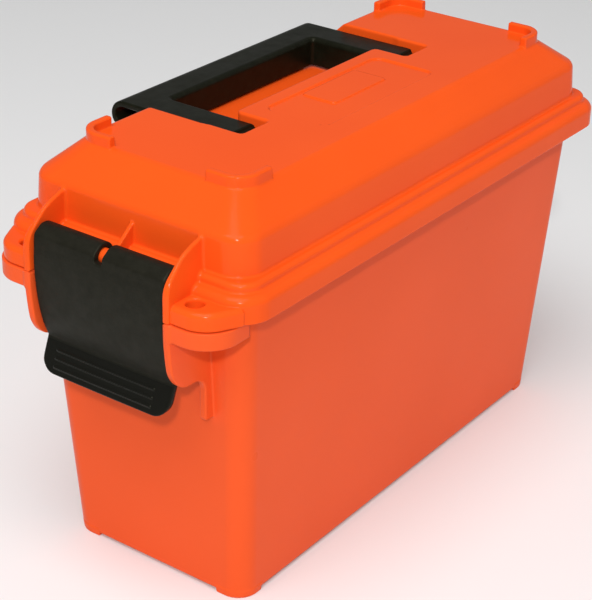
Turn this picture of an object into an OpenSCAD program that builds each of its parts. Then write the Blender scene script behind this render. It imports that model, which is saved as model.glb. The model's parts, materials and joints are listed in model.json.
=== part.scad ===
// Hinged plastic carrying case: a drafted tub, a domed lid with a sunken
// folding handle, and one snap latch between two padlock ears.
// +Z is up and the latch faces -Y. The tub stands centred on the origin.

/* [Tub] */
// Length of the tub at the floor
base_l = 225; // [200:1:260]
// Width of the tub at the floor
base_w = 89; // [86:1:100]
// Height of the parting line between tub and lid
parting_z = 134.5; // [130:0.5:150]
// How far each side wall leans out over its height
side_draft = 6.5; // [4:0.5:6.5]
// How far each end wall leans out over its height
end_draft = 9.5; // [6:0.5:9.5]
// Thickness of the moulded walls
wall = 3; // [2.5:0.5:3]
// Height of the corner feet
foot_h = 1.5; // [1:0.5:2]

/* [Lid] */
// Overhang of the skirt beyond the tub rim, all round
skirt_over = 9; // [9:0.5:11]
// Height of the skirt
skirt_h = 10.5; // [9.5:0.5:10.5]
// Height of the stepped bead above the skirt
bead_h = 3.5; // [3:0.5:4]
// Height of the upright dome wall above the bead
dome_h = 14.5; // [13:0.5:16]
// Height of the sloping band above the dome wall
slope_h = 12; // [11:0.5:13]
// Height of the stacking lugs
lug_h = 4; // [3:0.5:5]

/* [Handle] */
// Length of the handle along the case
handle_l = 128.5; // [120:0.5:130]
// Reach of the handle from its pivots to its outer edge
handle_reach = 54.5; // [52:1:56]
// Width of the legs and of the bar
handle_band = 14.7; // [13:0.1:16]
// Depth of the inner wall of the handle
handle_depth = 12.7; // [11:0.1:12.7]
// Depth of the handle's face below the flat top
handle_sunk = 2.7; // [2:0.1:3.5]

/* [Latch] */
// Width of the latch
latch_w = 62.6; // [50:0.2:62.6]
// Radius of the rod that the latch turns on
rod_r = 3; // [2.5:0.1:3]
// Thickness of the latch's panel
latch_t = 3; // [2.5:0.1:3]

/* [Padlock ears and hinge] */
// Radius of the padlock holes
hole_r = 3.5; // [3:0.1:3.8]
// Radius of the hinge pin
pin_r = 2; // [1.5:0.1:2.5]
// Radius of the hinge knuckles
knuckle_r = 6; // [5:0.1:6]

/* [Hidden] */
$fn = 48;
eps = 0.01;
run_fit = 0.06;    // radial gap of a running fit
part_gap = 0.4;    // gap at the parting line

// half sizes of the outlines, each [half width, half length, corner radius]
base_out = [base_w / 2, base_l / 2, 9];
rim_out = [base_w / 2 + side_draft, base_l / 2 + end_draft, 9];
skirt_out = rim_out + [skirt_over, skirt_over, 4.5];
bead_out = skirt_out - [4, 4, 4];
dome_foot = skirt_out - [7.4, 7.4, 2.3];
dome_head = skirt_out - [8.3, 7.8, 2.3];
flat_out = dome_head - [12.5, 15.6, 2.2];

// heights
skirt_top = parting_z + skirt_h;
bead_top = skirt_top + bead_h;
dome_top = bead_top + dome_h;
flat_z = dome_top + slope_h;
rim_z = parting_z + 6.9;       // top of the tub's rim
ledge_z = rim_z + part_gap;    // underside of the lid above the rim
ceiling_z = flat_z - wall;

// gasket: a round ring in a groove of the lid
seal_r = 2;
seal_path = rim_out + [1.5, 1.4, 2];
seal_z = rim_z + 0.3 + seal_r;

// hinge
hinge_y = skirt_out[1] + knuckle_r + 1;
hinge_z = parting_z + 0.1;
tub_knuckles = [[-38, -22], [-7, 7], [22, 38]];
lid_knuckles = [[-21.5, -7.5], [7.5, 21.5]];
pin_l = 76;

// latch bay: two cheeks with the rod between them
cheek_in = latch_w / 2 + 0.6;
cheek_t = 3;
front_y = -(hinge_y + knuckle_r);
rod_y = front_y + 8;
rod_z = dome_top - 15.2;
roll_r = rod_r + 2.2;
notch_x = 0.8;
notch_w = 4.4;
rib_t = 1.6;
catch_z = parting_z - 17;
catch_tip = front_y + 7.9;

// padlock ears
ear_r = 13;
ear_x = cheek_in + cheek_t + 18.8;
ear_y = front_y + 14.2;
ear_grow = 0.8;        // how much wider the tub's ears are than the lid's
lid_ear_t = 7;
tub_ear_t = 6.8;
hole_x = 39.8;
hole_y = front_y + 8.8;

// sunken bed of the handle
handle_z = flat_z - handle_sunk;
boss_r = handle_depth / 2;
pivot_x = -4.85;
pivot_z = handle_z - boss_r;
leg_out = handle_l / 2;
leg_in = leg_out - handle_band;
bed_z = handle_z - handle_depth - 1;
bed_y = leg_out + 1.2;
bed_x = pivot_x + boss_r + 4.2;
grip_x = -10.7;        // right-hand edge of the finger hollow
stub_r = 3;
stub_l = 3.4;

// label panel
label = [11.3, 0, 14.6, 39];      // centre x, centre y, half width, half length
label_pad = [6.4, 2, 8.2, 18.5];

// ---- outlines ----

// rectangle with rounded corners, from [half width, half length, radius]
module outline(o) {
    square([2 * o[0], 2 * (o[1] - o[2])], center = true);
    square([2 * (o[0] - o[2]), 2 * o[1]], center = true);
    for (sx = [-1, 1], sy = [-1, 1])
        translate([sx * (o[0] - o[2]), sy * (o[1] - o[2])]) circle(o[2]);
}

module plate(o, z0, z1) {
    translate([0, 0, z0]) linear_extrude(z1 - z0) outline(o);
}

function shrink(o, d) = [o[0] - d, o[1] - d, max(o[2] - d, 1)];
function outline_at(z) = base_out + (rim_out - base_out) * z / parting_z;

// a profile in the YZ plane, as a slab from x0 to x1
module slab(x0, x1) {
    translate([x0, 0, 0]) rotate([90, 0, 90]) linear_extrude(x1 - x0) children();
}

// the points of an arc, from angle a0 to a1
function arc(c, r, a0, a1, n = 8) =
    [for (i = [0:n]) let (a = a0 + (a1 - a0) * i / n) c + r * [cos(a), sin(a)]];

module both_sides() {
    children();
    mirror([1, 0, 0]) children();
}

// ---- tub ----

module tub_shell() {
    difference() {
        union() {
            hull() {
                plate(outline_at(foot_h), foot_h, foot_h + eps);
                plate(rim_out, parting_z - eps, parting_z);
            }
            plate(rim_out, parting_z - eps, rim_z);
            plate(rim_out + [5.6, 5.6, 4], rim_z - 3.6, rim_z);
        }
        hull() {
            plate(shrink(outline_at(foot_h), wall), foot_h + wall, foot_h + wall + eps);
            plate(shrink(rim_out, wall), rim_z, rim_z + 1);
        }
    }
}

module feet() {
    intersection() {
        plate(base_out, 0, foot_h + 1);
        for (sx = [-1, 1], sy = [-1, 1])
            translate([sx * base_out[0], sy * base_out[1], foot_h / 2 + 0.5])
                cube([28, 24, foot_h + 1], center = true);
    }
}

// side cheek of the latch bay, with its notch and its tail down the wall
module tub_cheek() {
    top = parting_z - part_gap / 2;
    foot = parting_z - 48;
    slab(cheek_in, cheek_in + cheek_t)
        polygon(concat(
            [[2 - outline_at(top)[1], top], [front_y, top], [front_y + 0.1, top - 7]],
            arc([front_y + 10.9, parting_z - 18.7], 9.8, 175, 270),
            arc([front_y + 15.4, parting_z - 34.9], 6, 90, 0),
            [[front_y + 21.5, foot + 2], [front_y + 23.1, foot], [2 - outline_at(foot)[1], foot]]));
}

module ear_outline(grow) {
    translate([cheek_in, ear_y - ear_r - grow]) square([ear_x - ear_r - cheek_in, 26]);
    intersection() {
        translate([ear_x - ear_r, ear_y]) circle(ear_r + grow);
        translate([cheek_in + 0.5, ear_y - 30]) square(60);
    }
    translate([cheek_in, ear_y]) square([ear_x - cheek_in + grow, 6.5]);
}

module tub_ear() {
    difference() {
        translate([0, 0, parting_z - part_gap / 2 - tub_ear_t])
            linear_extrude(tub_ear_t) ear_outline(ear_grow);
        translate([hole_x, hole_y, parting_z - 20]) cylinder(r = hole_r, h = 40);
        tub_cavity_cut();
    }
}

// keeps the ears out of the cavity
module tub_cavity_cut() {
    plate(shrink(rim_out, wall), parting_z - 12, parting_z + 1);
}

module catch_bar() {
    wall_y = -outline_at(catch_z)[1];
    slab(-cheek_in - 1, cheek_in + 1)
        polygon([[wall_y + 1, catch_z + 3], [catch_tip, catch_z + 3],
                 [catch_tip, catch_z - 1], [catch_tip + 2.5, catch_z],
                 [wall_y + 1, catch_z]]);
}

module tub_hinge() {
    wall_y = outline_at(parting_z - 20)[1] - 1.5;
    difference() {
        for (k = tub_knuckles)
            slab(k[0], k[1]) {
                translate([hinge_y, hinge_z]) circle(knuckle_r);
                polygon([[wall_y, parting_z - 0.3], [hinge_y, parting_z - 0.3],
                         [hinge_y + 5.8, hinge_z - 1.5], [wall_y, parting_z - 26]]);
            }
        slab(-50, 50) translate([hinge_y, hinge_z]) circle(pin_r);
    }
}

module tub() {
    color([1.0, 0.36, 0.13]) {
        tub_shell();
        feet();
        both_sides() {
            tub_cheek();
            tub_ear();
        }
        catch_bar();
        tub_hinge();
    }
}

// ---- lid ----

module dome() {
    hull() {
        plate(dome_foot, bead_top - 1, bead_top);
        plate(dome_head, dome_top - eps, dome_top);
        plate(flat_out, flat_z - eps, flat_z);
    }
}

module lid_cavity() {
    difference() {
        hull() {
            plate(shrink(rim_out, 2.4), ledge_z - 1, ledge_z);
            plate(shrink(rim_out, 2.8), dome_top - 1, dome_top - 1 + eps);
            plate(shrink(flat_out, 2.4), ceiling_z - eps, ceiling_z);
        }
        bed(wall, wall);
    }
    plate(skirt_out - [3, 3, 3], parting_z - 1, ledge_z);
}

// the sunken bed: a finger hollow and a slot for each leg, open to the left
module bed(grow, floor_t) {
    z0 = bed_z - floor_t;
    z1 = flat_z + 1 - grow;
    far_x = -skirt_out[0];
    module block(x1, y0, y1) {
        translate([far_x, y0, z0]) cube([x1 - far_x, y1 - y0, z1 - z0]);
    }
    block(grip_x + grow, -bed_y, bed_y);
    for (s = [-1, 1]) {
        inner = s * (leg_in - 1 - grow);
        outer = s * (bed_y + grow * 1.4);
        block(bed_x + grow, min(inner, outer), max(inner, outer));
    }
}

module seal_groove() {
    difference() {
        plate(seal_path + [2.2, 2.2, 2.2], ledge_z - 1, seal_z + seal_r + 0.2);
        plate(seal_path - [2.2, 2.2, 2.2], ledge_z - 2, seal_z + seal_r + 1);
    }
}

// stacking lug in the corner of the flat top
module lug() {
    arm = 16;
    intersection() {
        difference() {
            plate(flat_out, flat_z - 1, flat_z + lug_h);
            plate(shrink(flat_out, 2.6), flat_z - 2, flat_z + lug_h + 1);
        }
        translate([flat_out[0] - arm, flat_out[1] - arm, flat_z - 2]) cube([arm + 1, arm + 1, 20]);
    }
}

module lid_cheek() {
    z0 = parting_z + part_gap / 2;
    slab(cheek_in, cheek_in + cheek_t)
        polygon(concat(
            [[1 - skirt_out[1], z0], [front_y, z0]],
            arc([front_y + 10, parting_z + 9.6], 10, 180, 135),
            [[front_y + 6.7, dome_top - 8.4], [front_y + 9.4, dome_top - 6],
             [front_y + 12.1, dome_top - 4.5], [front_y + 15.8, dome_top - 3],
             [-dome_head[1], dome_top - 1.4], [1.5 - dome_head[1], dome_top - 1.4],
             [1.5 - dome_foot[1], bead_top], [1 - bead_out[1], bead_top - 2],
             [1 - skirt_out[1], skirt_top - 1]]));
}

module lid_ear() {
    difference() {
        translate([0, 0, parting_z + part_gap / 2])
            linear_extrude(lid_ear_t) ear_outline(0);
        translate([hole_x, hole_y, parting_z - 1]) cylinder(r = hole_r, h = 20);
        plate(skirt_out - [3, 3, 3], parting_z - 1, ledge_z);
    }
}

module latch_rod() {
    slab(-cheek_in - 1, cheek_in + 1) translate([rod_y, rod_z]) circle(rod_r);
    slab(notch_x - rib_t / 2, notch_x + rib_t / 2)
        polygon([[1 - dome_foot[1], bead_top - 2], [1 - dome_foot[1], dome_top - 5],
                 [-dome_head[1], dome_top - 5.5], [rod_y + 3, rod_z + 1.8],
                 [rod_y, rod_z], [rod_y + 1.5, rod_z - 2.2], [rod_y + 6, rod_z - 2.2]]);
}

module lid_hinge() {
    difference() {
        for (k = lid_knuckles)
            slab(k[0], k[1]) {
                translate([hinge_y, hinge_z]) circle(knuckle_r);
                polygon([[skirt_out[1] - 1, parting_z + 0.5], [hinge_y, parting_z + 0.5],
                         [hinge_y, hinge_z + knuckle_r], [skirt_out[1] - 1, skirt_top - 1]]);
            }
        slab(-50, 50) translate([hinge_y, hinge_z]) circle(pin_r + run_fit);
    }
}

module lid() {
    color([1.0, 0.38, 0.13]) {
        difference() {
            union() {
                plate(skirt_out, parting_z + 0.1, skirt_top);
                plate(bead_out, skirt_top - 1, bead_top);
                dome();
            }
            lid_cavity();
            bed(0, 0);
            seal_groove();
            for (s = [-1, 1])
                translate([pivot_x, s * (bed_y + 1.3), pivot_z])
                    rotate([90, 0, 0]) cylinder(r = stub_r + run_fit, h = 2.8, center = true);
            translate([label[0], label[1], 0])
                plate([label[2], label[3], 3], flat_z - 1, flat_z + 1);
        }
        translate([label_pad[0], label_pad[1], 0])
            plate([label_pad[2], label_pad[3], 2], flat_z - 1.2, flat_z - 0.2);
        both_sides() {
            lug();
            mirror([0, 1, 0]) lug();
            lid_cheek();
            lid_ear();
        }
        latch_rod();
        lid_hinge();
    }
}

// ---- seal ----

module seal() {
    hx = seal_path[0] - seal_path[2];
    hy = seal_path[1] - seal_path[2];
    color([0.12, 0.12, 0.12]) translate([0, 0, seal_z]) {
        for (i = [0:3]) {
            sx = (i == 0 || i == 3) ? 1 : -1;
            sy = i < 2 ? 1 : -1;
            translate([sx * hx, sy * hy, 0]) rotate(90 * i)
                rotate_extrude(angle = 90) translate([seal_path[2], 0]) circle(seal_r);
        }
        for (s = [-1, 1]) {
            translate([s * seal_path[0], 0, 0]) rotate([90, 0, 0])
                cylinder(r = seal_r, h = 2 * hy, center = true);
            translate([0, s * seal_path[1], 0]) rotate([0, 90, 0])
                cylinder(r = seal_r, h = 2 * hx, center = true);
        }
    }
}

// ---- hinge pin ----

module hinge_pin() {
    color([0.75, 0.76, 0.78])
        slab(-pin_l / 2, pin_l / 2) translate([hinge_y, hinge_z]) circle(pin_r);
}

// ---- latch ----

// side view of the panel, the pull tab and the hook
module latch_profile() {
    face = concat(
        [[front_y + 2.2, rod_z], [front_y + 1.3, parting_z + 6]],
        arc([front_y + 61, parting_z], 60, 180, 196, 6),
        [[front_y + 7, parting_z - 28.4], [front_y + 2, parting_z - 41.2]]);
    back = [for (i = [len(face) - 1:-1:0]) face[i] + [latch_t, 0]];
    polygon(concat(face, back));
    hook_tip = catch_tip - 0.4;
    polygon([[hook_tip - 2.5, catch_z - 1], [hook_tip, catch_z - 1.6],
             [hook_tip, catch_z - 3.6], [hook_tip - 2.2, catch_z - 6]]);
}

module latch() {
    half = latch_w / 2;
    color([0.17, 0.16, 0.15]) difference() {
        union() {
            slab(-half, half) latch_profile();
            slab(-half, half) translate([rod_y, rod_z]) circle(roll_r);
        }
        slab(-half - 1, half + 1) {
            translate([rod_y, rod_z]) circle(rod_r + run_fit);
            translate([rod_y, rod_z]) rotate(-75) translate([0, -rod_r * 0.8])
                square([10, rod_r * 1.6]);
        }
        translate([notch_x - notch_w / 2, rod_y, rod_z - 3]) cube([notch_w, 20, 20]);
        translate([notch_x - notch_w / 2, front_y - 5, rod_z - 0.8]) cube([notch_w, 20, 20]);
    }
}

// ---- handle ----

module handle() {
    bar_x = pivot_x - handle_reach;
    band = handle_band;
    top_t = 2.6;
    web_t = 2.5;
    lip_h = 10;
    z0 = handle_z - handle_depth;
    color([0.15, 0.16, 0.13]) {
        // bar: a plate with a deep inner wall and a shorter outer lip
        translate([bar_x, -leg_out, handle_z - top_t]) cube([band, handle_l, top_t]);
        translate([bar_x + band - web_t, -leg_in - web_t, z0])
            cube([web_t, 2 * (leg_in + web_t), handle_depth]);
        translate([bar_x, -leg_out, handle_z - lip_h]) cube([web_t, handle_l, lip_h]);
        for (s = [-1, 1]) {
            mid = s * (leg_in + leg_out) / 2;
            // leg: the same plate and inner wall, ending in a round boss
            translate([bar_x, mid - band / 2, handle_z - top_t])
                cube([pivot_x - bar_x, band, top_t]);
            translate([bar_x + band - web_t, s * (leg_in + web_t / 2) - web_t / 2, z0])
                cube([pivot_x - bar_x - band + web_t, web_t, handle_depth]);
            translate([pivot_x, mid, pivot_z]) rotate([90, 0, 0])
                cylinder(r = boss_r, h = band, center = true);
            translate([pivot_x, s * (leg_out + stub_l / 2 - 0.2), pivot_z]) rotate([90, 0, 0])
                cylinder(r = stub_r, h = stub_l + 0.4, center = true);
        }
    }
}

tub();
lid();
seal();
hinge_pin();
latch();
handle();
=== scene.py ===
"""Looks for the hinged plastic carrying case: moulded orange tub and lid, black latch and handle.

Each moulded piece is a solid described by distance functions, in millimetres in the CAD frame,
and then turned into a mesh whose normals follow the true surface."""

import bpy
import json
import math
import numpy as np
from mathutils import Matrix, Vector


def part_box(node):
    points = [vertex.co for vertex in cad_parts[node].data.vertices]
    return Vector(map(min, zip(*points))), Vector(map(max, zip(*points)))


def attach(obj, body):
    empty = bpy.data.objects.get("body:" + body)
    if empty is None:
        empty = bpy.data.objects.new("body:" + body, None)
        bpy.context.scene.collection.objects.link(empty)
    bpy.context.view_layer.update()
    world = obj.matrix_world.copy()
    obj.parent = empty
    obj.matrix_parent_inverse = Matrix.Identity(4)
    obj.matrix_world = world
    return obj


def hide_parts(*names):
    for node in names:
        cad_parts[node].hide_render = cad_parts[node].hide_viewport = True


MM = 1000                      # millimetres in a metre
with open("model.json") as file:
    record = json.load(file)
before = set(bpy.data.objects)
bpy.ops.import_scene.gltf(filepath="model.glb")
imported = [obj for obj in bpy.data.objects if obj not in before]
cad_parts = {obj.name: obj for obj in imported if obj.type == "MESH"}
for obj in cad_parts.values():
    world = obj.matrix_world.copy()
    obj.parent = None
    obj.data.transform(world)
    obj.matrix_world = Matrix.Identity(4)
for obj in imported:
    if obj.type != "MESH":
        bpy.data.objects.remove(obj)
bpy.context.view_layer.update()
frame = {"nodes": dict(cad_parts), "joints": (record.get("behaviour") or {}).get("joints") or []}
joint = {j["name"]: [MM * v for v in j["pos_m"]] for j in frame["joints"]}


def mm_box(name):
    """Lowest and highest corners of a CAD node, in mm."""
    return [np.array(c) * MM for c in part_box(name)]


# ------------------------------------------------------------------ named places, from the CAD
lid_hi = mm_box("lid")[1]
latch_hi = mm_box("latch")[1]
handle_lo, handle_hi = mm_box("handle")

HINGE = joint["lid_hinge"][1:]                                  # y, z
ROD = joint["latch_pivot"][1:]                                  # y, z
PIVOT = (joint["handle_pivot"][0], joint["handle_pivot"][2])    # x, z
KNUCKLE = 6                    # radius of the hinge knuckles
PART = HINGE[1] - 0.1          # parting line
GAP = 0.4                      # gap at the parting line
FRONT = -(HINGE[0] + KNUCKLE)  # front of the cheeks
LUG = 4.0                      # height of the stacking lugs
FLAT = lid_hi[2] - LUG         # flat top of the lid
FOOT = 1.5                     # height of the feet
WALL = 3.0

# outlines: half width, half length, corner radius; DOME0 to TOP are the hood's from below up
SKIRT = np.array([lid_hi[0], HINGE[0] - 7, 13.5])
RIM = SKIRT - [9, 9, 4.5]
BASE = RIM - [6.5, 9.5, 0]
BEAD = SKIRT - [4.0, 4.0, 4.0]
DOME0 = SKIRT - [7.4, 7.4, 2.3]
DOME1 = SKIRT - [8.3, 7.8, 2.3]
TOP = DOME1 - [12.5, 15.6, 2.2]

# ------------------------------------------------------------------ distance toolkit
NEAR = 4.0                     # a solid counts this far round its box
reach = [NEAR]


class Solid:
    """A distance function and the box that holds the solid, in mm."""

    def __init__(self, fn, lo, hi):
        self.fn, self.lo, self.hi = fn, np.array(lo, float), np.array(hi, float)


def near(s, p):
    """Whether the points p come near the box of the solid s."""
    m = reach[0]
    return all(a.max() >= lo - m and a.min() <= hi + m for a, lo, hi in zip(p, s.lo, s.hi))


def both(a, b, r=0.0):
    """Where two distances overlap, with the edge rounded to radius r."""
    if r <= 0:
        return np.maximum(a, b)
    return np.minimum(np.maximum(a, b), -r) + np.hypot(np.maximum(a + r, 0), np.maximum(b + r, 0))


def either(a, b, r=0.0):
    """Two distances as one, with the inner corner filled to radius r."""
    return -both(-a, -b, r)


def join(*solids, r=0.0):
    """Solids as one, with the inner corners between them filled to radius r."""
    def fn(*p):
        d = None
        for s in solids:
            if near(s, p):
                e = s.fn(*p)
                d = e if d is None else either(d, e, r)
        return reach[0] * np.ones((1,) * p[0].ndim) if d is None else d

    return Solid(fn, np.min([s.lo for s in solids], 0), np.max([s.hi for s in solids], 0))


def carve(body, *cuts, r=0.0):
    """The body without its cuts, with the edges of the cuts rounded to radius r."""
    def fn(*p):
        d = body.fn(*p)
        for c in cuts:
            if near(c, p):
                d = both(d, -c.fn(*p), r)
        return d

    return Solid(fn, body.lo, body.hi)


def rrect(u, v, hu, hv, r):
    """Rectangle with rounded corners."""
    a, b = np.abs(u) - (hu - r), np.abs(v) - (hv - r)
    return np.hypot(np.maximum(a, 0), np.maximum(b, 0)) + np.minimum(np.maximum(a, b), 0) - r


def taper(x, y, z, z0, o0, z1, o1, grow=0.0):
    """Rounded outline that runs from o0 at z0 to o1 at z1, moved out by grow."""
    k = (np.array(o1) - np.array(o0)) / (z1 - z0)
    t = z - z0
    hw, hl, r = (o0[i] + grow + k[i] * t for i in range(3))
    r = np.maximum(r, 1.0)
    a, b = np.abs(x) - (hw - r), np.abs(y) - (hl - r)
    pa, pb = np.maximum(a, 0), np.maximum(b, 0)
    n = np.hypot(pa, pb)
    d = n + np.minimum(np.maximum(a, b), 0) - r
    out = n > 1e-6
    nx = np.where(out, pa / np.maximum(n, 1e-6), a > b)
    ny = np.where(out, pb / np.maximum(n, 1e-6), a <= b)
    slope = nx * (k[0] - k[2]) + ny * (k[1] - k[2]) + k[2]
    return d / np.sqrt(1 + slope * slope)


def nearest(u, v, lines):
    """Least squared distance to straight lines, each given by its two ends."""
    d = np.full(u.shape, 1e9)
    for (ax, ay), (bx, by) in lines:
        ex, ey = bx - ax, by - ay
        wx, wy = u - ax, v - ay
        t = np.clip((wx * ex + wy * ey) / (ex * ex + ey * ey), 0, 1)
        d = np.minimum(d, (wx - t * ex) ** 2 + (wy - t * ey) ** 2)
    return d


def polygon(u, v, pts):
    """Signed distance to a closed polygon."""
    u, v = np.broadcast_arrays(u, v)
    lines = list(zip(pts, pts[1:] + pts[:1]))
    inside = np.zeros(u.shape, bool)
    for (ax, ay), (bx, by) in lines:
        if ay != by:
            inside ^= ((ay > v) != (by > v)) & (u < (bx - ax) * (v - ay) / (by - ay) + ax)
    return np.where(inside, -1, 1) * np.sqrt(nearest(u, v, lines))


def stroke(u, v, pts):
    """Distance to an open line through pts."""
    u, v = np.broadcast_arrays(u, v)
    return np.sqrt(nearest(u, v, zip(pts[:-1], pts[1:])))


def arc(cx, cy, r, a0, a1, n):
    """Points of an arc in n steps from angle a0 to a1, in degrees."""
    t = np.radians(np.linspace(a0, a1, n + 1))
    return [(cx + r * math.cos(a), cy + r * math.sin(a)) for a in t]


def smooth(pts, n):
    """Catmull-Rom curve through pts, with n steps between each two."""
    p = [np.array(q, float) for q in pts]
    p = [2 * p[0] - p[1]] + p + [2 * p[-1] - p[-2]]
    out = []
    for a, b, c, d in zip(p, p[1:], p[2:], p[3:]):
        for i in range(n):
            t = i / n
            square, cube = 2 * a - 5 * b + 4 * c - d, 3 * b - a - 3 * c + d
            out.append(tuple(0.5 * (2 * b + (c - a) * t + square * t * t + cube * t ** 3)))
    return out + [tuple(p[-2])]


def span(a, lo, hi):
    """Distance outside the interval from lo to hi."""
    return np.abs(a - (lo + hi) / 2) - (hi - lo) / 2


def plate(o, z0, z1, r=0.0):
    """Upright rounded rectangle, with its top and bottom edges rounded."""
    return Solid(lambda x, y, z: both(rrect(x, y, *o), span(z, z0, z1), r),
                 (-o[0], -o[1], z0), (o[0], o[1], z1))


def slab(pts, x0, x1, r=0.0):
    """YZ polygon from x0 to x1 with rounded sides."""
    q = np.array(pts)
    return Solid(lambda x, y, z: both(polygon(y, z, pts), span(x, x0, x1), r),
                 (x0, q[:, 0].min(), q[:, 1].min()), (x1, q[:, 0].max(), q[:, 1].max()))


def rod(axis, c0, c1, r, lo, hi, e=0.0):
    """Cylinder along axis (0 = x, 1 = y, 2 = z), with its ends rounded to e."""
    i, j = [k for k in range(3) if k != axis]

    def fn(*p):
        return both(np.hypot(p[i] - c0, p[j] - c1) - r, span(p[axis], lo, hi), e)

    a, b = np.zeros(3), np.zeros(3)
    a[[i, j]], b[[i, j]] = (c0 - r, c1 - r), (c0 + r, c1 + r)
    a[axis], b[axis] = lo, hi
    return Solid(fn, a, b)


# ------------------------------------------------------------------ meshes from distances
BLOCK = 20                     # grid points along a side of a sampled block
EDGE = 2.5                     # steps of empty grid round a solid
CELL = 14                      # side of a neighbourhood for gradients, in mm
SPREAD = 4096                  # more than the number of neighbourhoods along any axis


def ticks(lo, hi, step, fine):
    """Grid positions from lo to hi, closer together inside the fine ranges."""
    out = [lo]
    while out[-1] < hi:
        out.append(out[-1] + min([step] + [s for a, b, s in fine if a <= out[-1] < b]))
    return np.array(out)


def sample(solid, step, fine):
    """Distances on a grid. A block far from the surface takes the distance at its middle."""
    edge = EDGE * step
    axes = [ticks(solid.lo[i] - edge, solid.hi[i] + edge, step, fine[i]) for i in range(3)]
    ax = [a.astype(np.float32) for a in axes]
    n = [len(a) for a in ax]
    field = np.empty(n, np.float32)
    for i in range(0, n[0], BLOCK):
        for j in range(0, n[1], BLOCK):
            for k in range(0, n[2], BLOCK):
                part = [a[s:s + BLOCK] for a, s in zip(ax, (i, j, k))]
                across = math.sqrt(sum(float(p[-1] - p[0]) ** 2 for p in part))
                half = 0.5 * across + 2 * step
                mid = [np.full((1, 1, 1), (p[0] + p[-1]) / 2) for p in part]
                reach[0] = half + NEAR
                d = float(np.ravel(solid.fn(*mid))[0])
                here = np.s_[i:i + BLOCK, j:j + BLOCK, k:k + BLOCK]
                if abs(d) > half:
                    field[here] = d
                else:
                    reach[0] = NEAR
                    field[here] = solid.fn(part[0][:, None, None], part[1][None, :, None],
                                           part[2][None, None, :])
    return axes, field


def nets(axes, field):
    """Dual mesh of the zero level: one vertex a crossed cell, one quad a crossed edge."""
    n = field.shape
    inside = field < 0
    ids, pts, quads = [], [], []
    for a in range(3):
        b, c = (a + 1) % 3, (a + 2) % 3
        s0 = [slice(None)] * 3
        s1 = [slice(None)] * 3
        s0[a], s1[a] = slice(0, -1), slice(1, None)
        e = np.argwhere(inside[tuple(s0)] != inside[tuple(s1)])
        e1 = e.copy()
        e1[:, a] += 1
        f0, f1 = field[tuple(e.T)], field[tuple(e1.T)]
        p = e.astype(np.float64)
        p[:, a] += f0 / (f0 - f1)
        cell = []
        for db, dc in ((-1, -1), (0, -1), (0, 0), (-1, 0)):
            q = e.copy()
            q[:, b] += db
            q[:, c] += dc
            cell.append((q[:, 0] * n[1] + q[:, 1]) * n[2] + q[:, 2])
        cell = np.stack(cell, 1)
        cell[f0 >= 0] = cell[f0 >= 0][:, ::-1]
        quads.append(cell)
        ids.append(cell.ravel())
        pts.append(np.repeat(p, 4, 0))
    ids, pts, quads = np.concatenate(ids), np.concatenate(pts), np.concatenate(quads)
    keys, index = np.unique(ids, return_inverse=True)
    count = np.bincount(index)
    co = [np.interp(np.bincount(index, pts[:, i]) / count, np.arange(n[i]), axes[i])
          for i in range(3)]
    return np.stack(co, 1), np.searchsorted(keys, quads)


def slopes(solid, co, e=0.04):
    """Distance and gradient at each point, from four samples about e mm off it. The points are
    taken by small neighbourhoods, so that far solids are left out."""
    reach[0] = NEAR
    cell = np.floor(co / CELL).astype(int)
    cell -= cell.min(0)
    key = (cell[:, 0] * SPREAD + cell[:, 1]) * SPREAD + cell[:, 2]
    order = np.argsort(key, kind="stable")
    cuts = np.flatnonzero(np.diff(key[order])) + 1
    dist, grad = np.empty(len(co)), np.empty((len(co), 3))
    tet = np.array([[1, 1, 1], [1, -1, -1], [-1, 1, -1], [-1, -1, 1]]) * e
    for g in np.split(order, cuts):
        p = (co[g][None] + tet[:, None]).reshape(-1, 3)
        f = np.broadcast_to(solid.fn(*p.T), len(p)).reshape(4, -1)
        dist[g] = f.mean(0)
        grad[g] = (f[:, :, None] * tet[:, None]).sum(0) / (4 * e * e)
    return dist, grad


def settle(solid, co, most):
    """Moves points onto the surface in two rounds of at most most mm."""
    for _ in range(2):
        d, g = slopes(solid, co)
        gg = np.maximum((g * g).sum(1), 0.25)
        co = co - np.clip(d / gg, -most, most)[:, None] * g
    return co


def put(mesh, co):
    """Sets the places of the vertices from co, in mm."""
    mesh.vertices.foreach_set("co", (co / MM).astype(np.float32).ravel())


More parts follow.
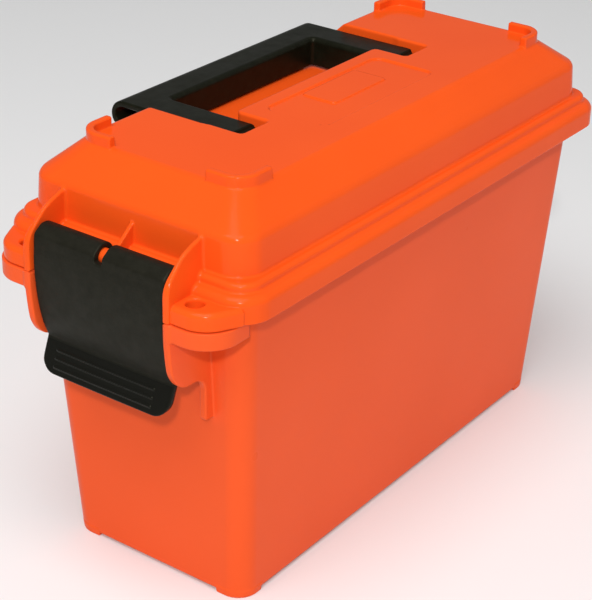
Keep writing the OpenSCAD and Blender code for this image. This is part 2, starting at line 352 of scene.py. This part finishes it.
def make(name, solid, step, fine, keep_share, body, cad_node, material):
    """A piece from its solid, sampled every step mm, or closer in the fine ranges of each axis,
    and thinned to keep_share of its faces. It rides on body in place of cad_node."""
    k = 1.0
    step = step * k
    fine = [[(a, b, s * k) for a, b, s in f] for f in fine]
    co, quads = nets(*sample(solid, step, fine))
    co = settle(solid, co, 0.4 * step)
    mesh = bpy.data.meshes.new(name)
    mesh.vertices.add(len(co))
    put(mesh, co)
    mesh.loops.add(4 * len(quads))
    mesh.loops.foreach_set("vertex_index", quads.astype(np.int32).ravel())
    mesh.polygons.add(len(quads))
    mesh.polygons.foreach_set("loop_start", np.arange(0, 4 * len(quads), 4, dtype=np.int32))
    mesh.polygons.foreach_set("loop_total", np.full(len(quads), 4, np.int32))
    mesh.update()
    mesh.validate()
    piece = bpy.data.objects.new(name, mesh)
    bpy.context.scene.collection.objects.link(piece)
    piece.modifiers.new("thin", "DECIMATE").ratio = keep_share
    dg = bpy.context.evaluated_depsgraph_get()
    low = bpy.data.meshes.new_from_object(piece.evaluated_get(dg))
    piece.modifiers.clear()
    piece.data = low
    bpy.data.meshes.remove(mesh)
    mesh = low
    mesh.name = name
    co = np.empty(3 * len(mesh.vertices), np.float32)
    mesh.vertices.foreach_get("co", co)
    co = settle(solid, co.reshape(-1, 3).astype(float) * MM, 0.25 * step)
    put(mesh, co)
    g = slopes(solid, co)[1]
    g /= np.maximum(np.linalg.norm(g, axis=1), 1e-9)[:, None]
    mesh.polygons.foreach_set("use_smooth", np.ones(len(mesh.polygons), bool))
    mesh.update()
    mesh.normals_split_custom_set_from_vertices(g)
    mesh.materials.append(material)
    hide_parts(cad_node)
    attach(piece, body)


# ------------------------------------------------------------------ tub
CHEEK = (31.9, 34.9)               # inner and outer x of the latch cheeks
EAR = (40.7, FRONT + 14.2, 13.0)   # centre x, y and radius of an ear's front
EAR_IN, EAR_BACK = 33.3, 6.5       # inner x of an ear, and how far behind its arc it goes
EAR_CUT = (0.755, 0.656)           # direction in which the lid's ears are cut off
HOLE, HOLE_R = (39.8, FRONT + 8.8), 3.4      # padlock holes: x, y and radius
PIN_R = 2.0                        # radius of the tub's hinge bore
RIM_Z = PART + 6.9                 # top of the tub's rim
CATCH = (FRONT + 7.9, PART - 17)   # y of the catch's edge, and z of its underside


def half_outline(z):
    """Half length of the tub at height z."""
    return BASE[1] + (RIM[1] - BASE[1]) * z / PART


def step_up(v, a, b):
    """0 below a, 1 above b, smooth in between."""
    t = np.clip((v - a) / (b - a), 0, 1)
    return t * t * (3 - 2 * t)


def ear(z0, z1, grow, r0, r1, flare=0.0, end=30.0):
    """One padlock ear on each side from z0 to z1, its outline grown by grow, its lower edge
    rounded to r0 and its upper edge to r1. Its outer side leaves the arc flare radians early
    and is cut off end mm from the arc's centre."""
    cx, cy, r = EAR
    c, s = math.cos(flare), math.sin(flare)

    def outline(x, y):
        u = np.abs(x)
        a, b = u - cx, y - cy
        side = np.maximum(a * c - b * s - r, b - EAR_BACK)
        side = np.maximum(side, EAR_CUT[0] * a + EAR_CUT[1] * b - end)
        d = np.where(a * s + b * c > 0, side, np.where(a > 0, np.hypot(a, b) - r, -r - b))
        return np.maximum(d - grow, EAR_IN - u)

    def fn(x, y, z):
        d = outline(x, y)
        return both(both(d, z0 - z, r0), z - z1, r1)

    w = cx + r + 1
    return Solid(fn, (-w, cy - r - grow, z0), (w, cy + 8, z1))


def hole(z0, z1):
    """Padlock holes."""
    return Solid(lambda x, y, z: np.hypot(np.abs(x) - HOLE[0], y - HOLE[1]) - HOLE_R,
                 (-45, HOLE[1] - 5, z0), (45, HOLE[1] + 5, z1))


def knuckles(arm, spans):
    """Hinge knuckles across each span of x, each with an arm of the given YZ polygon."""
    y, z = HINGE
    return [join(slab(arm, a, b, 0.6), rod(0, y, z, KNUCKLE, a, b, 0.6)) for a, b in spans]


def tub_solid():
    def wall(x, y, z):
        return taper(x, y, z, 0, BASE, PART, RIM)

    def outer(x, y, z):
        d = both(wall(x, y, z), FOOT - z, 1.0)
        return both(d, z - RIM_Z, 0.8)

    def cavity(x, y, z):
        return both(taper(x, y, z, 0, BASE, PART, RIM, -WALL), FOOT + WALL - z, 3.0)

    foot_x, foot_y = 31, 100           # the feet stand beyond these

    def feet(x, y, z):
        d = both(both(foot_x - np.abs(x), foot_y - np.abs(y)), -z, 0.5)
        d = both(d, wall(x, y, z) + 0.02, 0.4)
        return both(d, z - FOOT - 2)

    w, l = RIM[0] + 0.5, RIM[1] + 0.7
    body = Solid(outer, (-w, -l, FOOT), (w, l, RIM_Z))
    rim = plate(RIM + [5.6, 5.6, 4], RIM_Z - 3.6, RIM_Z, 0.8)
    foot = Solid(feet, (-w, -l, 0), (w, l, FOOT + 2))

    # the cheek's outline: down its front edge, round under the tail, and back into the wall
    z1 = PART - GAP / 2
    tail_z = PART - 49
    back = 3 - half_outline(tail_z)
    edge = smooth([(FRONT, z1), (FRONT + 0.05, z1 - 6), (FRONT + 0.5, PART - 12),
                   (FRONT + 1.1, PART - 17), (FRONT + 2.0, PART - 21.4),
                   (FRONT + 4.3, PART - 25.6), (FRONT + 7.4, PART - 28.4),
                   (FRONT + 10.4, PART - 29.4), (FRONT + 12.8, PART - 29.6)], 4)
    cheek = ([(3 - half_outline(z1), z1)] + edge + arc(FRONT + 14.6, PART - 35.6, 6, 90, 0, 8)
             + [(FRONT + 20.6, tail_z + 2.5)]
             + arc(FRONT + 22.2, tail_z + 1.6, 1.6, 180, 270, 4) + [(back, tail_z)])

    def cheek_fn(x, y, z):
        u = np.abs(x)
        return both(polygon(y, z, cheek), np.maximum(CHEEK[0] - u, u - CHEEK[1]), 0.7)

    cheeks = Solid(cheek_fn, (-CHEEK[1], FRONT, tail_z), (CHEEK[1], back, z1))
    ears = carve(ear(z1 - 6.8, z1, 0.8, 0.6, 0.4), hole(z1 - 9, z1 + 2), r=0.6)
    tip, catch_z = CATCH
    wall_y = 1 - half_outline(catch_z)
    catch = slab([(wall_y, catch_z + 3), (tip, catch_z + 3), (tip, catch_z - 1),
                  (tip + 2.5, catch_z), (wall_y, catch_z)], -CHEEK[0] - 1, CHEEK[0] + 1, r=0.3)
    y, z = HINGE
    wall_y = half_outline(PART - 20) - 1.5
    arm = [(wall_y, PART - 0.3), (y, PART - 0.3), (y + 5.8, z - 1.5), (wall_y, PART - 26)]
    # the body's cavity is cut last, so nothing stands inside it
    outside = join(join(body, rim, catch, r=0.9), cheeks, r=0.8)
    outside = join(outside, ears, r=1.2)
    outside = join(outside, foot, r=0.2)
    outside = join(outside, *knuckles(arm, ((-38, -22), (-7, 7), (22, 38))), r=0.5)
    hollow = Solid(cavity, (-w, -l, FOOT + WALL), (w, l, RIM_Z + 5))
    return carve(outside, hollow, rod(0, y, z, PIN_R, -50, 50), r=0.7)


# ------------------------------------------------------------------ lid
LEDGE = RIM_Z + GAP                # underside of the lid over the rim
LID_Z = PART + 0.1                 # lower edge of the skirt
BEAD_Z, SKIRT_Z = PART + 14, PART + 10.5
SHELL_Z = PART + 5                 # the bead and the hood start here, inside the skirt
DOME_Z = BEAD_Z + 14.5             # where the hood's walls lean in
STUB = 3.4                         # length of the handle's stubs
BED_Z = handle_hi[2] - 13.7        # floor of the handle's bed
BED_X = PIVOT[0] + 10.55           # right end of the leg slots
BED_Y = handle_hi[1] - STUB + 1.2  # half length of the bed
GRIP_X = -10.7                     # right end of the finger hollow
LEG_IN = 49.55                     # inner side of the handle's legs
LABEL = (11.3, 0, 14.6, 39)        # centre x, y, half width, half length
PAD = (6.4, 2, 8.2, 18.5)


def dome(x, y, z):
    """The hood: steep walls that lean in above DOME_Z, up to the flat top."""
    d = taper(x, y, z, BEAD_Z, DOME0, DOME_Z, DOME1)
    s = taper(x, y, z, DOME_Z, DOME1, FLAT, TOP)
    return both(both(d, s, 1.5), z - FLAT, 0.9)


def bed_walls(x, y, grow):
    """Plan of the handle's bed: the finger hollow and the two leg slots."""
    end = np.abs(y) - BED_Y - grow * 1.4
    a = both(x - GRIP_X - grow, end, 3.0)
    s = both(both(x - BED_X - grow, end, 1.6), LEG_IN - 1 - grow - np.abs(y), 1.6)
    return either(a, s, 3.0)


def lid_solid():
    def bed(x, y, z):
        return both(bed_walls(x, y, 0), BED_Z - z, 1.2)

    def bed_pan(x, y, z):
        return both(bed_walls(x, y, WALL), BED_Z - WALL - z, 2.0)

    def cavity(x, y, z):
        d = taper(x, y, z, LEDGE, RIM - [2.4, 2.4, 2.4], DOME_Z - 1, RIM - [2.8, 2.8, 2.4])
        s = taper(x, y, z, DOME_Z, DOME1, FLAT, TOP, -WALL * 1.3)
        d = both(both(d, s, 1.5), z - (FLAT - WALL), 1.5)
        d = both(d, -bed_pan(x, y, z), 1.0)
        skirt = both(rrect(x, y, *(SKIRT - 3)), z - LEDGE, 1.0)
        return either(d, skirt, 0.5)

    def groove(x, y, z):
        ring = np.abs(rrect(x, y, RIM[0] + 1.5, RIM[1] + 1.4, 11)) - 2.2
        return both(ring, z - (LEDGE + 4.1), 1.0)

    def skirt_fn(x, y, z):
        return both(both(rrect(x, y, *SKIRT), z - SKIRT_Z, 3.6), LID_Z - z, 0.4)

    def bead_fn(x, y, z):
        return both(both(rrect(x, y, *BEAD), z - BEAD_Z, 2.0), SHELL_Z - z)

    def hood_fn(x, y, z):
        return both(dome(x, y, z), SHELL_Z - z)

    w, l = SKIRT[:2]
    skirt = Solid(skirt_fn, (-w, -l, LID_Z), (w, l, SKIRT_Z))
    bead = Solid(bead_fn, (-w, -l, SHELL_Z), (w, l, BEAD_Z))
    hood = Solid(hood_fn, (-w, -l, SHELL_Z), (w, l, FLAT))
    shell = join(skirt, bead, hood, r=1.0)

    leg, thick, root = 16.5, 3.2, FLAT - 3      # of a stacking lug

    def lugs(x, y, z):
        o = rrect(x, y, *(TOP + 0.8))
        d = both(both(o, -o - thick, 0.5), z - FLAT - LUG, 0.9)
        d = both(d, TOP[0] - leg - np.abs(x), 0.5)
        d = both(d, TOP[1] - leg - np.abs(y), 0.5)
        return both(d, root - z)

    lug = Solid(lugs, (-TOP[0] - 1, -TOP[1] - 1, root), (TOP[0] + 1, TOP[1] + 1, FLAT + LUG))

    z0, cheek_top, back = PART + GAP / 2, DOME_Z - 1.4, 13 - SKIRT[1]
    cheek = ([(back, z0), (FRONT, z0)] + arc(FRONT + 10, PART + 9.6, 10, 180, 135, 6)
             + smooth([(FRONT + 6.7, DOME_Z - 8.4), (FRONT + 9.4, DOME_Z - 6.1),
                       (FRONT + 12.1, DOME_Z - 4.6), (FRONT + 15.8, DOME_Z - 3.1),
                       (FRONT + 21.2, cheek_top)], 3)
             + [(back, cheek_top)])

    def cheek_fn(x, y, z):
        outer = CHEEK[1] - 1.1 * step_up(z, PART + 8, PART + 22)
        u = np.abs(x)
        return both(polygon(y, z, cheek), np.maximum(CHEEK[0] - u, u - outer), 0.8)

    cheeks = Solid(cheek_fn, (-CHEEK[1], FRONT, z0), (CHEEK[1], back, cheek_top))
    ears = carve(ear(z0, z0 + 7, 0, 0.4, 2.2, 0.47, 12.7), hole(z0 - 2, z0 + 9), r=1.1)
    ry, rz = ROD
    wall_y = 1 - DOME0[1]
    rib = slab([(wall_y, BEAD_Z - 2), (wall_y, DOME_Z - 5), (-DOME1[1], DOME_Z - 5.5),
                (ry + 3, rz + 1.8), (ry, rz), (ry + 1.5, rz - 2.2), (ry + 6, rz - 2.2)],
               0, 1.6, 0.3)
    bar = rod(0, ry, rz, 3, -CHEEK[0] - 1, CHEEK[0] + 1)
    y, z = HINGE
    arm = [(SKIRT[1] - 1, PART + 0.5), (y, PART + 0.5), (y, z + KNUCKLE),
           (SKIRT[1] - 1, SKIRT_Z - 1)]

    def patch(place, r, low, high, fn):
        """A rounded rectangle on the lid's top from low to high; fn finishes its distance."""
        cx, cy, hw, hl = place
        return Solid(lambda x, y, z: fn(rrect(x - cx, y - cy, hw, hl, r), z),
                     (cx - hw, cy - hl, low), (cx + hw, cy + hl, high))

    sunk, pad_root = FLAT - 0.7, FLAT - 2
    label = patch(LABEL, 4, sunk, FLAT + 3, lambda d, z: both(d, sunk - z, 0.4))
    pad = patch(PAD, 2, pad_root, FLAT,
                lambda d, z: both(both(d, z - FLAT + 0.05, 0.4), pad_root - z))

    outside = join(shell, cheeks, r=1.2)
    outside = join(outside, ears, r=0.4)
    outside = join(outside, bar, rib, lug, r=0.6)
    outside = join(outside, *knuckles(arm, ((-21.5, -7.5), (7.5, 21.5))), r=0.5)
    bed_cut = Solid(bed, (-w - 5, -BED_Y, BED_Z), (BED_X, BED_Y, FLAT + 6))
    inner = Solid(cavity, (-w, -l, PART - 5), (w, l, FLAT - WALL))
    seat = Solid(groove, (-w, -l, PART - 2), (w, l, LEDGE + 4.1))
    sockets = [rod(1, *PIVOT, 3.1, *sorted((s * (BED_Y - 1), s * (BED_Y + 2.7))))
               for s in (-1, 1)]
    d = carve(outside, bed_cut, r=1.1)
    d = carve(d, inner, seat, label, *sockets, rod(0, y, z, PIN_R + 0.1, -50, 50), r=0.5)
    return join(d, pad, r=0.3)


# ------------------------------------------------------------------ latch
def latch_solid():
    half = latch_hi[0]
    ry, rz = ROD
    t = 1.5                                 # half thickness
    bend = (FRONT + 7.0, rz - 41.6)         # where the tab begins
    run, drop = 5.1, 13.2                   # how far the tab leans out and down
    face = smooth([(FRONT + 2.2, rz + 1), (FRONT + 1.35, rz - 4), (FRONT + 1.05, rz - 11),
                   (FRONT + 1.5, rz - 19), (FRONT + 2.5, rz - 27), (FRONT + 4.2, rz - 34.4),
                   bend], 5)
    tab = [(bend[0] - run * k / 8, bend[1] - drop * k / 8) for k in range(1, 11)]
    mid = [(y + t, z) for y, z in face + tab]

    def crown(x):
        return 0.25 * (x / half) ** 2

    def panel(x, y, z):
        d = stroke(y - crown(x), z, mid) - t
        d = both(d, np.abs(x) - half, 1.2)
        # rounded corners of the tab
        corner = rrect(x, z - (rz - 13.4), half, 41.4, 7)
        return both(d, corner, 0.6)

    def ridge(x, y, z):
        """Three grip ridges across the tab."""
        d = None
        for down in (4.1, 7.2, 10.3):
            across = np.hypot(y - crown(x) - (bend[0] - run * down / drop), z - (bend[1] - down))
            e = np.hypot(across, np.maximum(np.abs(x + 0.7) - 23.6, 0)) - 0.5
            d = e if d is None else np.minimum(d, e)
        return d

    body = Solid(panel, (-half, FRONT, rz - 56), (half, FRONT + 12, rz + 3))
    roll = rod(0, ry, rz, 5.2, -half, half, 1.0)
    lines = Solid(ridge, (-26, FRONT, rz - 55), (26, FRONT + 8, rz - 43))
    # the hook reaches under the catch, clear of its edge
    hy, hz = CATCH[0] - 0.4, CATCH[1]
    hook = slab([(hy - 2.5, hz - 1), (hy, hz - 1.6), (hy, hz - 3.6), (hy - 2.2, hz - 6)],
                -half + 1, half - 1, 0.4)

    def notch(x, y, z):
        floor_z = rz - 0.8 - 2.2 * step_up(y, ry - 4, ry)
        return both(np.abs(x - 0.4) - 1.8, floor_z - z, 0.9)

    slot = Solid(notch, (-1.4, FRONT - 5, rz - 3), (3, FRONT + 30, rz + 20))
    # the seat of the lid's rod, open to the back so that the latch snaps on
    mouth = slab([(ry + 1, rz - 2.9), (ry + 9, rz - 5.5), (ry + 10, rz - 1), (ry + 1.6, rz + 1.2)],
                 -half - 1, half + 1)
    seat = join(rod(0, ry, rz, 3.06, -half - 1, half + 1), mouth)
    d = join(body, roll, r=1.5)
    d = join(d, hook, lines, r=0.35)
    d = carve(d, seat, r=0.3)
    return carve(d, slot, r=0.7)


# ------------------------------------------------------------------ handle
def handle_solid():
    x0 = handle_lo[0] - 2.4     # outer side of the bar
    top = handle_hi[2]
    leg = handle_hi[1] - STUB   # outer side of the legs
    bar, band = 18.4, 16.0      # widths of the bar and of the legs
    t = 1.25                    # half thickness
    curl = 6.0                  # radius of the lip rolled along the bar
    px, pz = PIVOT
    inner_x, leg_in = x0 + bar, leg - band
    floor_z = top - 12.7

    def plan(x, y, z):
        d = both(span(x, x0 + curl, px + 3.5), np.abs(y) - leg, 0.8)
        cut = both(inner_x - x, np.abs(y) - leg_in, 1.5)
        d = both(d, -cut, 0.8)
        return both(d, span(z, top - 2 * t, top), 0.8)

    lip_pts = [(x0 + 7, top - t)] + arc(x0 + curl, top - curl, curl - t, 90, 215, 10)

    def lip(x, y, z):
        return both(stroke(x, z, lip_pts) - t, np.abs(y) - leg, 0.8)

    def inner(x, y, z):
        """The wall round the opening."""
        d = np.abs(both(inner_x - t - x, np.abs(y) - (leg_in + t), 1.5 + t)) - t
        d = both(d, x - px - 0.5, 0.3)
        return both(d, span(z, floor_z, top), 0.7)

    deck = Solid(plan, (x0 + curl, -leg, top - 2 * t), (px + 4, leg, top))
    edge = Solid(lip, (x0, -leg, top - 11), (x0 + 10, leg, top))
    web = Solid(inner, (inner_x - 3, -leg_in - 3, floor_z), (px + 1, leg_in + 3, top))
    d = join(join(deck, edge), web, r=0.8)
    mid = leg - band / 2
    for s in (-1, 1):
        boss = rod(1, px, pz, top - pz, s * mid - band / 2, s * mid + band / 2, 0.8)
        stub = rod(1, px, pz, 3, *sorted((s * (leg - 0.5), s * (leg + STUB))), 0.4)
        d = join(d, boss, stub, r=0.5)

    def rounded(x, y, z):
        # the top edge rolls over into the opening
        opening = both(inner_x - x, np.abs(y) - leg_in, 1.5)
        return np.maximum(d.fn(x, y, z), both(-opening, z - top, 2.3))

    return Solid(rounded, d.lo, d.hi)


# ------------------------------------------------------------------ materials
def shader(name, colour, roughness, ior=None, specular=None, tinted=None):
    """A material with its node tree, its shader and its object coordinates."""
    m = bpy.data.materials.new(name)
    m.use_nodes = True
    tree = m.node_tree
    b = tree.nodes["Principled BSDF"]
    b.inputs["Base Color"].default_value = (*colour, 1)
    b.inputs["Roughness"].default_value = roughness
    for socket, value in (("IOR", ior), ("Specular IOR Level", specular),
                          ("Specular Tint", tinted)):
        if value is not None:
            b.inputs[socket].default_value = value
    return m, tree, b, node(tree, "ShaderNodeTexCoord").outputs["Object"]


def node(tree, kind, **values):
    n = tree.nodes.new(kind)
    for k, v in values.items():
        if k in n.inputs:
            n.inputs[k].default_value = v
        else:
            setattr(n, k, v)
    return n


def noise(tree, coords, scale, detail, rough=0.5):
    n = node(tree, "ShaderNodeTexNoise", Scale=scale, Detail=detail, Roughness=rough)
    tree.links.new(coords, n.inputs["Vector"])
    return n.outputs["Fac"]


def ramp(tree, fac, a, b, lo=0.3, hi=0.7):
    """A number that runs from a to b as fac runs from lo to hi."""
    n = node(tree, "ShaderNodeMapRange")
    n.inputs["From Min"].default_value, n.inputs["From Max"].default_value = lo, hi
    n.inputs["To Min"].default_value, n.inputs["To Max"].default_value = a, b
    tree.links.new(fac, n.inputs["Value"])
    return n.outputs["Result"]


def tint(tree, fac, c0, c1, lo=0.3, hi=0.7):
    """A colour that runs from c0 to c1 as fac runs from lo to hi."""
    n = tree.nodes.new("ShaderNodeValToRGB")
    n.color_ramp.elements[0].position, n.color_ramp.elements[1].position = lo, hi
    n.color_ramp.elements[0].color, n.color_ramp.elements[1].color = (*c0, 1), (*c1, 1)
    tree.links.new(fac, n.inputs["Fac"])
    return n.outputs["Color"]


def mix(tree, fac, plain, varied):
    """The plain colour or number where fac is 0, and the socket varied where it is 1."""
    colour = isinstance(plain, tuple)
    n = node(tree, "ShaderNodeMix", data_type="RGBA" if colour else "FLOAT")
    a, b, out = (6, 7, 2) if colour else (2, 3, 0)      # places of the sockets for this type
    n.inputs[a].default_value = plain
    tree.links.new(fac, n.inputs[0])
    tree.links.new(varied, n.inputs[b])
    return n.outputs[out]


def bumps(tree, shader_node, *layers):
    """Chain of bump nodes into the shader, from (height, depth in metres) pairs."""
    last = None
    for height, depth in layers:
        n = node(tree, "ShaderNodeBump", Strength=1.0, Distance=depth)
        tree.links.new(height, n.inputs["Height"])
        if last is not None:
            tree.links.new(last, n.inputs["Normal"])
        last = n.outputs["Normal"]
    tree.links.new(last, shader_node.inputs["Normal"])


def moulded(name, c0, c1, rough, specular, ior):
    """Smooth moulded plastic with faint clouds of colour and gloss."""
    m, t, b, xyz = shader(name, c0, rough, ior, specular)
    gloss = ramp(t, noise(t, xyz, 40, 2), rough - 0.03, rough + 0.03, 0.2, 0.8)
    t.links.new(tint(t, noise(t, xyz, 14, 2), c0, c1), b.inputs["Base Color"])
    t.links.new(gloss, b.inputs["Roughness"])
    return m


def black_grain(name, c0, c1, rough, grain, ior, polished=0.0):
    """Grained black plastic, smooth and darker below the height polished (m)."""
    m, t, b, xyz = shader(name, c0, rough, ior, 0.5, (1.0, 0.97, 0.72, 1))
    dark, smooth_rough, blur = (0.006, 0.006, 0.005, 1), 0.24, 0.0006
    sep = node(t, "ShaderNodeSeparateXYZ")
    t.links.new(xyz, sep.inputs["Vector"])
    up = ramp(t, sep.outputs["Z"], 0.0, 1.0, polished - blur, polished + blur)
    colour = tint(t, noise(t, xyz, 260, 5, 0.65), c0, c1)
    t.links.new(mix(t, up, dark, colour), b.inputs["Base Color"])
    grainy = ramp(t, noise(t, xyz, 160, 4), rough - 0.06, rough + 0.06)
    t.links.new(mix(t, up, smooth_rough, grainy), b.inputs["Roughness"])
    bumps(t, b, (noise(t, xyz, 70, 2), 0.00015), (noise(t, xyz, 1900, 3, 0.6), grain))
    return m


def rubber():
    m, t, b, xyz = shader("seal_rubber", (0.02, 0.02, 0.02), 0.75)
    colour = tint(t, noise(t, xyz, 300, 4), (0.016, 0.016, 0.016), (0.03, 0.03, 0.03))
    t.links.new(colour, b.inputs["Base Color"])
    bumps(t, b, (noise(t, xyz, 900, 3), 0.00003))
    return m


def steel():
    m, t, b, xyz = shader("pin_steel", (0.55, 0.56, 0.57), 0.3)
    b.inputs["Metallic"].default_value = 1.0
    colour = tint(t, noise(t, xyz, 200, 4), (0.50, 0.51, 0.53), (0.62, 0.63, 0.64))
    t.links.new(colour, b.inputs["Base Color"])
    t.links.new(ramp(t, noise(t, xyz, 500, 3), 0.24, 0.38), b.inputs["Roughness"])
    return m


# The tub's orange is the plastic's own colour, made paler with about twice the lid's blue as a
# painted reflection: it stands in for the pale wash that the tub's walls reflect.
orange_tub = moulded("orange_tub", (0.82, 0.094, 0.018), (0.86, 0.101, 0.022), 0.30, 0.10, 1.45)
orange_lid = moulded("orange_lid", (0.84, 0.086, 0.009), (0.88, 0.096, 0.010), 0.14, 0.5, 1.18)
tab_top = ROD[1] / MM - 0.0422              # the latch is polished below this height
latch_black = black_grain("latch_black", (0.0075, 0.0072, 0.0048), (0.0130, 0.0122, 0.0085),
                          0.5, 0.00008, 1.22, tab_top)
handle_black = black_grain("handle_black", (0.0045, 0.0050, 0.0025), (0.0085, 0.0091, 0.0050),
                           0.36, 0.00002, 1.2)

# ------------------------------------------------------------------ pieces
SIDES = [(-57, -30, 0.45), (30, 57, 0.45)]      # the ears and cheeks need a finer grid in x
make("tub_shell", tub_solid(), 0.9,
     [SIDES, [(FRONT - 2, -112, 0.45)], [(PART - 52, PART + 2, 0.45)]], 0.22,
     "base", "tub", orange_tub)
make("lid_shell", lid_solid(), 0.65,
     [SIDES + [(-1, 3, 0.4)], [(FRONT - 2, -100, 0.4)], [(PART, BEAD_Z + 2, 0.45)]], 0.2,
     "cover", "lid", orange_lid)
make("latch_plate", latch_solid(), 0.4, [[], [], []], 0.5,
     "latch_body", "latch", latch_black)
make("handle_bail", handle_solid(), 0.4, [[], [], []], 0.5,
     "handle_body", "handle", handle_black)

for name, material in (("seal", rubber()), ("hinge_pin", steel())):
    materials = frame["nodes"][name].data.materials
    materials.clear()
    materials.append(material)

# ------------------------------------------------------------------ floor, light and camera
scene = bpy.context.scene
AZ, EL, ROLL = 34.87, 27.12, 1.77           # the camera's, in degrees


def direction(azimuth, elevation):
    """Towards a place at this azimuth from the front and this elevation, in degrees."""
    a, e = math.radians(azimuth), math.radians(elevation)
    return Vector((math.sin(a) * math.cos(e), -math.cos(a) * math.cos(e), math.sin(e)))


def floor():
    """Pale sweep: a floor that curves up behind the case, square to the camera."""
    front, bend, radius, top, side = -4, 2.2, 1.2, 4, 5
    profile = [(front, 0)]
    for a in np.radians(np.linspace(0, 90, 16)):
        profile.append((bend + radius * math.sin(a), radius - radius * math.cos(a)))
    profile.append((bend + radius, top))
    c, s = math.cos(math.radians(-AZ)), math.sin(math.radians(-AZ))
    co = [(x * c - y * s, x * s + y * c, z) for y, z in profile for x in (-side, side)]
    faces = [(2 * i, 2 * i + 1, 2 * i + 3, 2 * i + 2) for i in range(len(profile) - 1)]
    mesh = bpy.data.meshes.new("floor")
    mesh.from_pydata(co, [], faces)
    mesh.polygons.foreach_set("use_smooth", [True] * len(mesh.polygons))
    mesh.materials.append(shader("floor_white", (0.86, 0.86, 0.86), 0.9)[0])
    o = bpy.data.objects.new("floor", mesh)
    scene.collection.objects.link(o)


def area(name, azimuth, elevation, distance, size, power):
    """Round light aimed at the middle of the case; metres and watts."""
    light = bpy.data.lights.new(name, "AREA")
    light.shape = "DISK"
    light.size = size
    light.energy = power
    o = bpy.data.objects.new(name, light)
    scene.collection.objects.link(o)
    back = direction(azimuth, elevation)
    o.location = Vector((0, 0, 0.09)) + back * distance
    o.rotation_mode = "QUATERNION"
    o.rotation_quaternion = (-back).to_track_quat("-Z", "Y")


floor()
area("key", 34, 35, 2.2, 0.14, 22)
area("top", 15, 65, 1.8, 1.4, 20)
area("right", 80, 30, 2.4, 3.0, 4)

world = bpy.data.worlds.new("studio")
scene.world = world
world.use_nodes = True
world.node_tree.nodes["Background"].inputs["Color"].default_value = (1, 1, 1, 1)
world.node_tree.nodes["Background"].inputs["Strength"].default_value = 0.28

TARGET, DISTANCE = Vector((-0.00033, -0.00026, 0.07869)), 0.7699        # metres
back, roll = direction(AZ, EL), math.radians(ROLL)
level = Vector((0, 0, 1)).cross(back).normalized()
upright = back.cross(level)
right = math.cos(roll) * level + math.sin(roll) * upright
up = -math.sin(roll) * level + math.cos(roll) * upright
cam = bpy.data.cameras.new("camera")
cam.lens, cam.sensor_width, cam.sensor_fit = 108.0, 36.0, "HORIZONTAL"
cam.shift_x, cam.shift_y = -0.0433, -0.0118
cam.clip_start, cam.clip_end = 0.05, 50
camera = bpy.data.objects.new("camera", cam)
scene.collection.objects.link(camera)
facing = Matrix((right, up, back)).transposed().to_4x4()
camera.matrix_world = Matrix.Translation(TARGET + back * DISTANCE) @ facing
scene.camera = camera

scene.view_settings.view_transform = "Standard"
scene.view_settings.look = "None"
